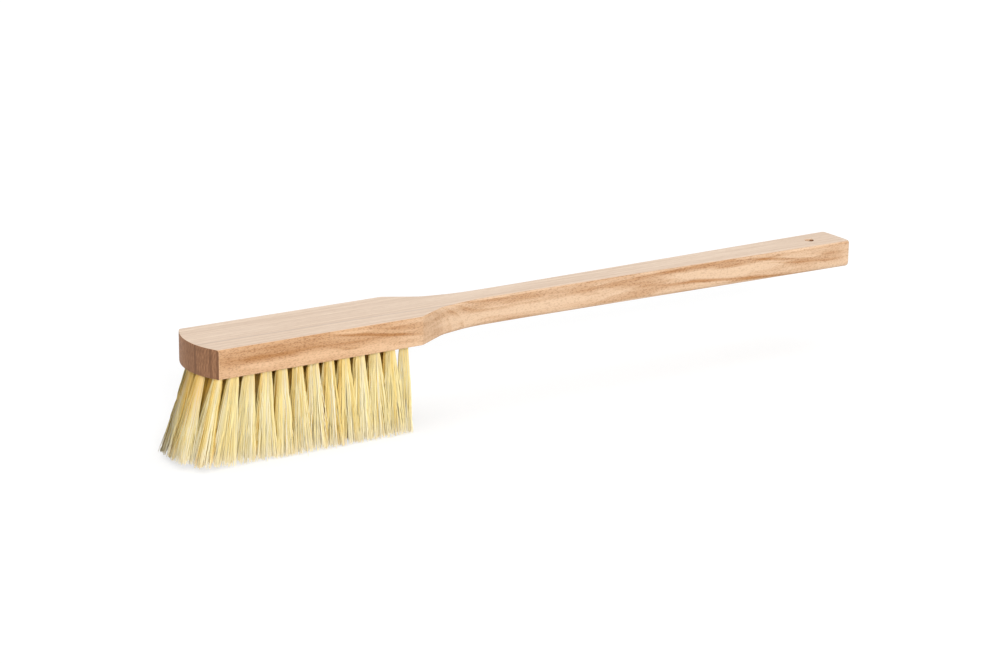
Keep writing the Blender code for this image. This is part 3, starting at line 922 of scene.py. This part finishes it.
def fibre_shades(tuft, one_root, clumps, draw):
    """One shade for each folded fibre, with room for the bake map's strip."""
    count = len(one_root)
    by_clump = draw.normal(0, CLUMP_SHADE_JITTER, TUFT_CLUMPS)[clumps]
    by_fibre = draw.normal(0, FIBRE_SHADE_JITTER, count)
    shades = MIDDLE_SHADE + by_fibre + by_clump + draw.normal(0, TUFT_SHADE_JITTER)
    # Painted shade: fibres towards the rear and the flanks of the tuft are darker, as if in
    # shadow
    rear = -one_root[:, 1] * np.sign(tuft.mouth[1]) / MOUTH_RADIUS
    flank = np.abs(one_root[:, 0]) / MOUTH_RADIUS
    shades -= REAR_PAINTED_SHADE * rear.clip(*REAR_LIMIT_SHARES) + FLANK_PAINTED_SHADE * flank
    return shades.clip(BAKE_STRIP, 1 - BAKE_STRIP)


def outward_directions(tuft, paths):
    """Which way is out of the tuft, and with it out of the brush, at each place of a path."""
    drops = tuft.mouth[2] - paths[:, :, 2:]
    outwards = np.zeros_like(paths)
    outwards[:, :, :2] = paths[:, :, :2] - tuft.mouth[:2] - tuft.slope * drops + tuft.outwards
    outwards[:, :, 0] *= LENGTHWAYS_LEAN_SHARE
    return outwards / np.linalg.norm(outwards, axis=2, keepdims=True)


def build_tuft(tuft, index, material):
    """Fibres folded in half over the anchor, which lies along Y: each has a loose end on
    either side of it."""
    draw = np.random.default_rng(TUFT_SEED + index)
    count = FOLDED_FIBRES
    angles = draw.uniform(-math.pi / 2, math.pi / 2, count)
    distances = MOUTH_RADIUS * np.sqrt(draw.random(count))
    one_root = np.stack([np.cos(angles), np.sin(angles)], 1) * distances[:, None]
    other_root = one_root * (-1, 1) + draw.normal(0, FOLD_JITTER, (count, 2))
    at_low_end, at_high_end = np.where(tuft.spreads[:, 0] < 1, END_ROOT_SPREAD_SHARE, 1)
    for roots in (one_root, other_root):
        roots[:, 0] *= np.where(roots[:, 0] < 0, at_low_end, at_high_end)

    one_end, clumps = end_paths(tuft, one_root, draw)
    other_end, _ = end_paths(tuft, other_root, draw)
    fold = fold_paths(tuft, one_root, other_root, distances)
    paths = np.concatenate([one_end[:, ::-1], fold, other_end], axis=1)
    along = np.linspace(0, 1, FIBRE_STEPS)
    alongs = np.concatenate([along[::-1], np.zeros(len(FOLD_STATION_SHARES)), along])
    taper = 1 - (1 - TIP_RADIUS_SHARE) * alongs**2
    radii = draw.uniform(*FIBRE_RADII, count)[:, None] * taper
    shades = fibre_shades(tuft, one_root, clumps, draw)

    name = tuft.name.replace("tuft", "fibres")
    outwards = outward_directions(tuft, paths)
    piece = tube_mesh(name, paths, radii, shades, alongs, outwards, material)
    # The share of painted shade for an inner row's fibres, which the material reads
    inner = np.full(len(piece.data.vertices), tuft.inner_share)
    add_attribute(piece.data, "inner", inner)
    return piece


def build_anchors(tufts, material):
    """The flat wires across the folds, which bite into the walls of the holes."""
    bm = bmesh.new()
    for tuft in tufts:
        made = bmesh.ops.create_cube(bm, size=1.0)
        centre = tuft.axis_point(ANCHOR_DEPTH)
        for vert in made["verts"]:
            vert.co = centre + Vector(a * b for a, b in zip(vert.co, ANCHOR_SIZE))
    anchors = object_from_bmesh("tuft_anchors", bm, material)
    bevel = anchors.modifiers.new("rounded_edges", "BEVEL")
    bevel.width = ANCHOR_EDGE_RADIUS
    bevel.segments = ANCHOR_EDGE_STEPS
    return anchors


def add_camera():
    cos_a, sin_a = math.cos(CAMERA_AZIMUTH), math.sin(CAMERA_AZIMUTH)
    cos_e, sin_e = math.cos(CAMERA_ELEVATION), math.sin(CAMERA_ELEVATION)
    back = Vector((sin_a * cos_e, -cos_a * cos_e, sin_e))
    level = Vector((cos_a, sin_a, 0))
    above = back.cross(level)
    right = level * math.cos(CAMERA_ROLL) + above * math.sin(CAMERA_ROLL)
    up = above * math.cos(CAMERA_ROLL) - level * math.sin(CAMERA_ROLL)
    aim = Vector(((BOARD_LOW.x + BOARD_HIGH.x) / 2, 0, BOARD_LOW.z))
    place = aim + right * CAMERA_RIGHT + up * CAMERA_UP + back * CAMERA_DISTANCE
    data = bpy.data.cameras.new("camera")
    data.sensor_width = SENSOR_WIDTH
    data.lens = FOCAL_PIXELS * SENSOR_WIDTH / IMAGE_WIDTH
    camera = bpy.data.objects.new("camera", data)
    bpy.context.scene.collection.objects.link(camera)
    turned = Matrix((right, up, back)).transposed()
    camera.matrix_world = Matrix.Translation(place) @ turned.to_4x4()
    bpy.context.scene.camera = camera


# Lights: the direction that each comes from, the angle that it fills and its level
LIGHTS = (
    ("front_softbox", (-0.32, -0.88, 0.36), math.radians(20), 0.62),
    ("overhead_softbox", (0.10, -0.10, 1.00), math.radians(60), 0.30),
)
WORLD_LEVEL = 0.45
WHITE = (1.0, 1.0, 1.0)
FLOOR_SIZE = 60.0
FLOOR_COLOUR = (0.75, 0.75, 0.75)
SHOWN_FLOOR_COLOUR = (0.45, 0.45, 0.45)
SHOWN_FLOOR_GLOW = 0.62


def seen_directly(nodes):
    """1 for what the camera sees itself, or in a reflection or through glass."""
    path = nodes.add("ShaderNodeLightPath").outputs
    shown = nodes.math("ADD", path["Is Camera Ray"], path["Is Glossy Ray"])
    return nodes.math("ADD", shown, path["Is Transmission Ray"], clamp=True)


def add_light():
    for name, direction, angle, level in LIGHTS:
        data = bpy.data.lights.new(name, "SUN")
        data.angle = angle
        data.energy = level * math.pi
        light = bpy.data.objects.new(name, data)
        bpy.context.scene.collection.objects.link(light)
        light.rotation_mode = "QUATERNION"
        light.rotation_quaternion = Vector(direction).to_track_quat("Z", "Y")

    world = bpy.data.worlds.new("studio")
    bpy.context.scene.world = world
    world.use_nodes = True
    nodes = Nodes(world.node_tree)
    soft = nodes.add("ShaderNodeBackground", {"Color": WHITE, "Strength": WORLD_LEVEL})
    white = nodes.add("ShaderNodeBackground", {"Color": WHITE, "Strength": 1.0})
    shown = nodes.add(
        "ShaderNodeMixShader", {0: seen_directly(nodes), 1: soft.outputs[0], 2: white.outputs[0]}
    )
    nodes.add("ShaderNodeOutputWorld", {"Surface": shown.outputs[0]})


def add_floor():
    bm = bmesh.new()
    bmesh.ops.create_grid(bm, x_segments=1, y_segments=1, size=FLOOR_SIZE / 2)
    material, nodes = new_material("white_floor")
    paint = nodes.add("ShaderNodeBsdfDiffuse", {"Color": FLOOR_COLOUR})
    shown_paint = nodes.add("ShaderNodeBsdfDiffuse", {"Color": SHOWN_FLOOR_COLOUR})
    glow = nodes.add("ShaderNodeEmission", {"Strength": SHOWN_FLOOR_GLOW})
    shown = nodes.add("ShaderNodeAddShader", {0: shown_paint.outputs[0], 1: glow.outputs[0]})
    floor = nodes.add(
        "ShaderNodeMixShader", {0: seen_directly(nodes), 1: paint.outputs[0], 2: shown.outputs[0]}
    )
    nodes.add("ShaderNodeOutputMaterial", {"Surface": floor.outputs[0]})
    object_from_bmesh("floor", bm, material)


def main():
    bpy.context.scene.view_settings.view_transform = "Standard"
    add_camera()
    add_light()
    add_floor()

    names = sorted(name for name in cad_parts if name.startswith("tuft"))
    tufts = [Tuft(name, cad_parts[name]) for name in names]
    find_neighbours(tufts)
    board = build_board(beech_material(), tufts)
    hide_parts("brush_board")
    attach(board, "root")

    fibre = fibre_material()
    for index, tuft in enumerate(tufts):
        piece = build_tuft(tuft, index, fibre)
        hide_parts(tuft.name)
        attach(piece, "root")
    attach(build_anchors(tufts, steel_material()), "root")


main()
